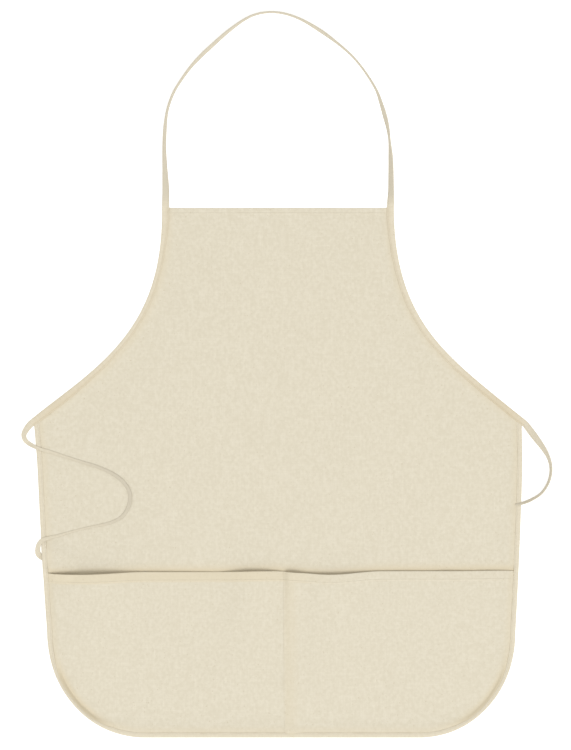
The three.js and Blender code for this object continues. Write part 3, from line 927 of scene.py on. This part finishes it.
# %% Skirt binding
skirt_top = 366 * MM
pocket_fade = 10 * MM
top_thinning = 0.35 * MM
thin_from, thin_by = skirt_top - 10 * MM, skirt_top - 5 * MM
skirt_half = np.concatenate([corner_curve(fine_steps), side_curve(fine_steps)[1:]])
skirt_half = skirt_half[skirt_half[:, 1] <= skirt_top]
skirt_line = np.concatenate([(skirt_half * np.array([-1, 1]))[::-1], skirt_half])
skirt_line = resampled(skirt_line, tape_step)
held_pocket = 1 - smooth_rise(skirt_line[:, 1], pocket_height, pocket_height + pocket_fade)
under_armhole = smooth_rise(skirt_line[:, 1], thin_from, thin_by)
skirt_gap = bound_gap + (pocket_bound_gap - bound_gap) * held_pocket - top_thinning * under_armhole
skirt_rings = binding("skirt_tape", skirt_line, 1, skirt_width, skirt_gap, ["skirt_binding"])

# %% [markdown]
# ## Neck loop and waist ties
# The loop and the ties are the free lengths of the tape, lying as they fell. Their routes are those of
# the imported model, with a few points of the left tie moved up to 3 mm to show its loops as they are in
# the photograph. Three more columns follow the place: the height that the lower edge rests on there,
# the lean, from 0 where the tape lies flat to 90 where it stands on its edge, and the spread, which is
# less than 1 where the tape has rolled in on itself. A smooth line through the points carries the
# profile, and where a tie crosses the apron its height is taken again from the cloth made above.
# The left tie turns over the side, crosses the front, comes back and ends under the skirt's edge, and
# the right tie curls back to the side edge.

# %% Routes: across, height up the apron and rest in metres, lean in degrees, spread
neck_loop_route = [
    (-0.1312, 0.6100, 0.00080, 0, 1),
    (-0.1309, 0.6310, 0.00020, 25, 1),
    (-0.1318, 0.6540, 0.00000, 52, 1),
    (-0.1325, 0.6770, 0.00000, 66, 1),
    (-0.1318, 0.7000, 0.00000, 70, 1),
    (-0.1296, 0.7190, 0.00000, 80, 1),
    (-0.1260, 0.7320, 0.00000, 81, 1),
    (-0.1210, 0.7440, 0.00000, 82, 1),
    (-0.1130, 0.7570, 0.00000, 82, 1),
    (-0.1020, 0.7720, 0.00000, 78, 1),
    (-0.0900, 0.7850, 0.00000, 70, 1),
    (-0.0750, 0.7990, 0.00000, 70, 1),
    (-0.0590, 0.8130, 0.00000, 75, 1),
    (-0.0410, 0.8260, 0.00000, 84, 1),
    (-0.0265, 0.8326, 0.00000, 88, 1),
    (-0.0104, 0.8350, 0.00000, 90, 1),
    (0.0070, 0.8330, 0.00000, 88, 1),
    (0.0260, 0.8260, 0.00000, 84, 1),
    (0.0480, 0.8130, 0.00000, 73, 1),
    (0.0670, 0.7990, 0.00000, 84, 1),
    (0.0830, 0.7850, 0.00000, 88, 1),
    (0.0950, 0.7710, 0.00000, 88, 1),
    (0.1046, 0.7570, 0.00000, 86, 1),
    (0.1120, 0.7440, 0.00000, 82, 1),
    (0.1170, 0.7300, 0.00000, 71, 1),
    (0.1215, 0.7150, 0.00000, 64, 1),
    (0.1250, 0.7000, 0.00000, 75, 1),
    (0.1267, 0.6860, 0.00000, 82, 1),
    (0.1280, 0.6680, 0.00000, 60, 1),
    (0.1284, 0.6470, 0.00000, 50, 1),
    (0.1284, 0.6260, 0.00020, 38, 1),
    (0.1277, 0.6100, 0.00080, 0, 1),
]

left_tie_route = [
    (-0.2866, 0.3611, 0.00080, 0, 1),
    (-0.2912, 0.3554, 0.00020, 8, 0.9),
    (-0.2944, 0.3486, 0.00010, 20, 0.76),
    (-0.2926, 0.3422, 0.00030, 20, 0.66),
    (-0.2866, 0.3374, 0.00240, -14, 0.58),
    (-0.2800, 0.3340, 0.00390, -10, 0.5),
    (-0.2735, 0.3318, 0.00390, -10, 0.46),
    (-0.2670, 0.3300, 0.00360, -12, 0.42),
    (-0.2590, 0.3276, 0.00260, -14, 0.38),
    (-0.2454, 0.3231, 0.00160, -14, 0.36),
    (-0.2292, 0.3180, 0.00130, -14, 0.38),
    (-0.2108, 0.3122, 0.00130, -14, 0.42),
    (-0.1947, 0.3053, 0.00130, -14, 0.45),
    (-0.1832, 0.2978, 0.00130, -14, 0.48),
    (-0.1751, 0.2880, 0.00130, 16, 0.5),
    (-0.1720, 0.2776, 0.00130, 16, 0.52),
    (-0.1739, 0.2661, 0.00130, 16, 0.5),
    (-0.1803, 0.2557, 0.00130, 16, 0.44),
    (-0.1912, 0.2488, 0.00130, 14, 0.38),
    (-0.2062, 0.2448, 0.00130, 14, 0.34),
    (-0.2246, 0.2408, 0.00130, 14, 0.3),
    (-0.2408, 0.2367, 0.00170, 14, 0.31),
    (-0.2546, 0.2327, 0.00300, 12, 0.36),
    (-0.2650, 0.2302, 0.00490, 10, 0.46),
    (-0.2718, 0.2280, 0.00600, 10, 0.56),
    (-0.2766, 0.2232, 0.00500, 14, 0.62),
    (-0.2786, 0.2164, 0.00160, 14, 0.68),
    (-0.2772, 0.2104, 0.00020, 3, 0.78),
    (-0.2700, 0.2062, 0.00015, 0, 0.85),
    (-0.2610, 0.2036, 0.00005, 0, 0.9),
    (-0.2510, 0.2020, 0.00005, 0, 0.9),
]

right_tie_route = [
    (0.2834, 0.3607, 0.00080, 0, 1),
    (0.2888, 0.3534, 0.00010, 14, 1),
    (0.2966, 0.3430, 0.00000, 34, 1),
    (0.3044, 0.3320, 0.00000, 54, 1),
    (0.3096, 0.3223, 0.00000, 70, 1),
    (0.3122, 0.3115, 0.00000, 77, 1),
    (0.3116, 0.3015, 0.00000, 80, 1),
    (0.3080, 0.2910, 0.00000, 82, 1),
    (0.3006, 0.2809, 0.00040, 84, 0.95),
    (0.2899, 0.2741, 0.00260, 84, 0.8),
    (0.2820, 0.2708, 0.00400, 84, 0.55),
    (0.2765, 0.2692, 0.00400, 84, 0.4),
    (0.2715, 0.2684, 0.00400, 84, 0.3),
]
print("route points", len(neck_loop_route), len(left_tie_route), len(right_tie_route))


# %% Smooth line and turned frame of a free tape
def smooth_line(points, steps):
    """Catmull-Rom curve: between two points the tangents are half the step over both neighbours."""
    ends = np.concatenate([2 * points[:1] - points[1:2], points, 2 * points[-1:] - points[-2:-1]])
    place = np.linspace(0, len(points) - 1, steps * (len(points) - 1) + 1)
    row = np.minimum(place.astype(int), len(points) - 2)
    t = (place - row)[:, None]
    before, start, end, after = (ends[row + k] for k in range(4))
    return 0.5 * (2 * start + (end - before) * t + (2 * before - 5 * start + 4 * end - after) * t ** 2
                  + (3 * start - before - 3 * end + after) * t ** 3)


tape_width = 8.3 * MM
free_gap = 0.25 * MM
rolled_thin = 0.12
roll_groove = 0.9 * MM
tucked_in = 2.8 * MM
tucked_size = 0.9
tucked_part = (0.957, 0.985)
lies_flat = (0.8, 0.95)
lays_close = 22 * MM
slit_depth = 1.2 * MM
rest_on_apron = (1.0 * MM, 1.3 * MM)
# Middle and reach, as shares of the length, of the extra painted shade on a tie.
painted_shade_middle, painted_shade_reach = 0.45, 0.3
drape_slope = 0.2
drape_round = np.hanning(11)
lying_clear = 0.06 * MM


def tuck_end(rows):
    """The rows with one more before them, a little further back along their first step."""
    step = rows[:1] - rows[1:2]
    step[:, 2:] = 0
    return np.concatenate([rows[:1] + step * tucked_in / np.linalg.norm(step), rows])


def apron_top(x, height):
    """Height of what lies under a tape: a binding near the edge, the cloth further in, 0 off the apron."""
    inset = inset_at(x, height)
    inside = np.abs(x - shift_at(height)) < np.interp(height, outline[:, 1], outline[:, 0])
    cloth_top = body_under(x, height, inset) + cloth
    bound_top = 2 * lay + bound_gap + tuck_height(x, height)
    return inside * np.where(inset < skirt_width, np.maximum(bound_top, cloth_top), cloth_top)


def draped(run, ground):
    """The ground along a tape, filled in so that the tape leaves each rise by a gentle slope."""
    apart = np.abs(run[:, None] - run[None, :])
    filled = (ground[None, :] - drape_slope * apart).max(axis=1)
    padded = np.pad(filled, len(drape_round) // 2, mode="edge")
    return np.convolve(padded, drape_round / drape_round.sum(), mode="valid")


def free_tape(name, route, open_side, painted_tape_shade, added_tone=0.0, joint_tone=0.02, joint_width=armhole_width,
              steps=8, bound_ends=(True, False)):
    """The tape along a route. Its across direction is level, to the left of the way it runs, turned
    about the route by the lean, less where it is rolled in. Where the route rests on the apron, the tape
    is draped on it, and its middle stands over that by half its height at its lean. A rolled stretch is
    thinner. Its tone is even painted shade, plus a raised cosine of more painted shade round the middle.
    An end that is bound into the apron lies flat there, with the binding's width and gap, and goes on
    a little way inside it, drawn in."""
    table = np.array(route)
    if bound_ends[0]:
        table = tuck_end(table)
    if bound_ends[1]:
        table = tuck_end(table[::-1])[::-1]
    x, height, rest, lean, spread = smooth_line(table, steps).T
    run = distance_along(np.column_stack([x, height]))
    opening = np.zeros_like(run)
    if bound_ends[0]:
        opening = np.maximum(opening, 1 - smooth_rise(run, 0, lays_close))
    if bound_ends[1]:
        opening = np.maximum(opening, 1 - smooth_rise(run[-1] - run, 0, lays_close))
    drawn_in = 1 - (1 - tucked_size) * smooth_rise(opening, *tucked_part)
    turned = 1 - smooth_rise(opening, *lies_flat)
    thin = (rolled_thin + (1 - rolled_thin) * spread) * drawn_in
    width = (spread * tape_width - (tape_width - joint_width) * opening) * drawn_in
    gap = free_gap * spread ** 2 + (bound_gap - free_gap) * opening

    lean = (np.radians(lean) * spread * turned)[:, None]
    on_apron = smooth_rise(rest, *rest_on_apron)
    ground = draped(run, apron_top(x, height) * on_apron) + lying_clear * (1 - opening)
    stand = np.abs(np.sin(lean[:, 0])) * width / 2 + np.abs(np.cos(lean[:, 0])) * (lay + gap / 2) * thin
    middles = np.column_stack([x + frame_shift[0], height + frame_shift[1], ground + stand])
    along = np.gradient(middles, axis=0)
    along /= np.linalg.norm(along, axis=1, keepdims=True)
    level = np.column_stack([-along[:, 1], along[:, 0], 0 * run])
    level /= np.linalg.norm(level, axis=1, keepdims=True)
    across = level * np.cos(lean) + np.cross(along, level) * np.sin(lean)
    up = np.cross(along, across)

    slit = slit_depth * spread ** 2
    profile_across, profile_through = tape_profile(width, gap, slit, roll_groove * (1 - spread))
    profile_through = profile_through * thin[:, None]
    toward_open = open_side * across
    from_painted_shade = np.clip(np.abs(run / run[-1] - painted_shade_middle) / painted_shade_reach, 0, 1)
    # Painted shade, even along the tape and more round the middle; at a bound end, the tone of the binding
    # there.
    tone = (painted_tape_shade + added_tone * np.cos(np.pi / 2 * from_painted_shade) ** 2) * (1 - opening) + joint_tone * opening
    length = distance_along(middles)
    piece, rings = carried_tape(name, free_cotton, middles - toward_open * width[:, None] / 2, toward_open,
                                up, profile_across, profile_through, length, tone)
    print(name, "is", round(length[-1] * 1000), "mm long")
    return piece, rings, middles, up, float(length[-1])


# Painted shade on each tape: most on the neck loop, which stands on its edge, and round the middle of the
# left tie.
neck_loop, neck_rings, neck_path, neck_up, neck_length = free_tape(
    "neck_loop_tape", neck_loop_route, open_side=-1, painted_tape_shade=0.6, joint_width=tape_width,
    bound_ends=(True, True))
left_tie, _, left_path, _, left_length = free_tape(
    "left_tie_tape", left_tie_route, open_side=1, painted_tape_shade=0.1, added_tone=0.6, joint_tone=0.12)
right_tie, right_rings, right_path, right_up, right_length = free_tape(
    "right_tie_tape", right_tie_route, open_side=-1, painted_tape_shade=0.4, joint_tone=0.15)

free_tapes = [
    (neck_loop, "neck_loop", neck_path, neck_length, "object"),
    (left_tie, "left_tie", left_path, left_length, "bare"),
    (right_tie, "right_tie", right_path, right_length, "bare"),
]
for piece, node, path, length, far_end in free_tapes:
    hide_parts(node)
print("declared", [piece.name for piece, *_ in free_tapes])

# %% [markdown]
# ## Stitching
# Seams show as rows of short thread ends that sink into the cloth at both ends. One stitch is a small
# spindle of five sides, and a row of them is laid along a line by giving each its own place, direction
# and up. There are over a thousand, so a stitch has only twenty faces.

# %% One stitch and a row of them
stitch_pitch = 3.0 * MM
stitch_length = 2.3 * MM
thread_round = 0.24 * MM
sides = 5
ring_angles = 2 * np.pi * np.arange(sides) / sides
ring_places = np.array([-0.30, 0.0, 0.30])
ring_sizes = np.array([0.8, 1.0, 0.8])


def stitch_shape():
    """A spindle along the first axis: three rings of a thread's radius and a point at each end."""
    along = np.repeat(ring_places * stitch_length, sides)
    beside = np.outer(ring_sizes, np.cos(ring_angles)).ravel() * thread_round
    up = np.outer(ring_sizes, np.sin(ring_angles)).ravel() * thread_round
    tip_drop = -0.8 * thread_round
    tips = np.array([[-stitch_length / 2, 0, tip_drop], [stitch_length / 2, 0, tip_drop]])
    points = np.concatenate([np.column_stack([along, beside, up]), tips])
    ring = grid_quads(len(ring_places), sides, ring=True)[:, ::-1].tolist()
    start, end = sides * len(ring_places), sides * len(ring_places) + 1
    last = sides * (len(ring_places) - 1)
    around = [(k, (k + 1) % sides) for k in range(sides)]
    caps = [(start, a, b) for a, b in around] + [(end, last + b, last + a) for a, b in around]
    return points, ring + [face[::-1] for face in caps]


def stitch_row(line, up):
    """Points of every stitch along a line: place + along x + beside y + up z of the spindle."""
    run = distance_along(line)
    places = np.arange(stitch_pitch, run[-1] - stitch_pitch / 2, stitch_pitch)
    pick = lambda values: np.column_stack([np.interp(places, run, values[:, k]) for k in range(3)])
    along = pick(np.gradient(line, axis=0))
    along /= np.linalg.norm(along, axis=1, keepdims=True)
    upward = pick(up)
    upward -= along * np.sum(upward * along, axis=1, keepdims=True)
    upward /= np.linalg.norm(upward, axis=1, keepdims=True)
    beside = np.cross(upward, along)
    shape, _ = stitch_shape()
    return (pick(line)[:, None] + shape[:, :1] * along[:, None] + shape[:, 1:2] * beside[:, None]
            + shape[:, 2:] * upward[:, None])


def stitching(name, rows):
    """One piece holding several rows of stitches."""
    shape, faces = stitch_shape()
    points = np.concatenate([stitch_row(line, up) for line, up in rows])
    count = len(points)
    shifted = [[[k + n * len(shape) for k in face] for face in faces] for n in range(count)]
    uv = np.column_stack([shape[:, 0], np.arctan2(shape[:, 2], shape[:, 1]) / (2 * np.pi)])
    piece = mesh_piece(name, points, [face for one in shifted for face in one], thread,
                       np.tile(uv, (count, 1)))
    print(name, "has", count, "stitches")
    return piece


print("a stitch has", len(stitch_shape()[1]), "faces")

# %% Rows on the tapes
level_up = np.array([0.0, 0.0, 1.0])


def tape_rows(rings, up):
    """The seam on the upper lay of a tape."""
    line = rings[:, seam_point]
    return line, np.broadcast_to(up, line.shape)


stitching("armhole_stitches", [tape_rows(left_arm_rings, level_up), tape_rows(right_arm_rings, level_up)])
stitching("skirt_stitches", [tape_rows(skirt_rings, level_up)])
stitching("free_tape_stitches", [tape_rows(neck_rings, neck_up), tape_rows(right_rings, right_up)])


# %% Rows on the cloth
row_trim = 8
seam_from, seam_to = 4, -3


def cloth_row(x, height, upper, row):
    """A line of points on a cloth's upper face, along one row of its grid, short of the bindings."""
    line = np.column_stack([x[row] + frame_shift[0], height[row] + frame_shift[1], upper[row]])
    return line[row_trim:-row_trim]


bib_row = int(np.argmin(np.abs(body_heights - (body_length - bib_seam))))
bib_line = cloth_row(body_x, body_height, body_high, bib_row)
mouth_row = int(np.argmin(np.abs(pocket_heights - (pocket_height - pocket_seam))))
mouth_line = cloth_row(pocket_x, pocket_hung, pocket_high, mouth_row)
seam_pick = np.arange(len(pocket_heights)), np.argmin(np.abs(past_seam), axis=1)
seam_line = np.column_stack([centre_seam + shift_at(pocket_heights) + frame_shift[0],
                             pocket_hung[seam_pick] + frame_shift[1],
                             pocket_high[seam_pick]])[seam_from:seam_to]
stitching("hem_stitches", [(line, np.broadcast_to(level_up, line.shape))
                           for line in (bib_line, mouth_line, seam_line)])
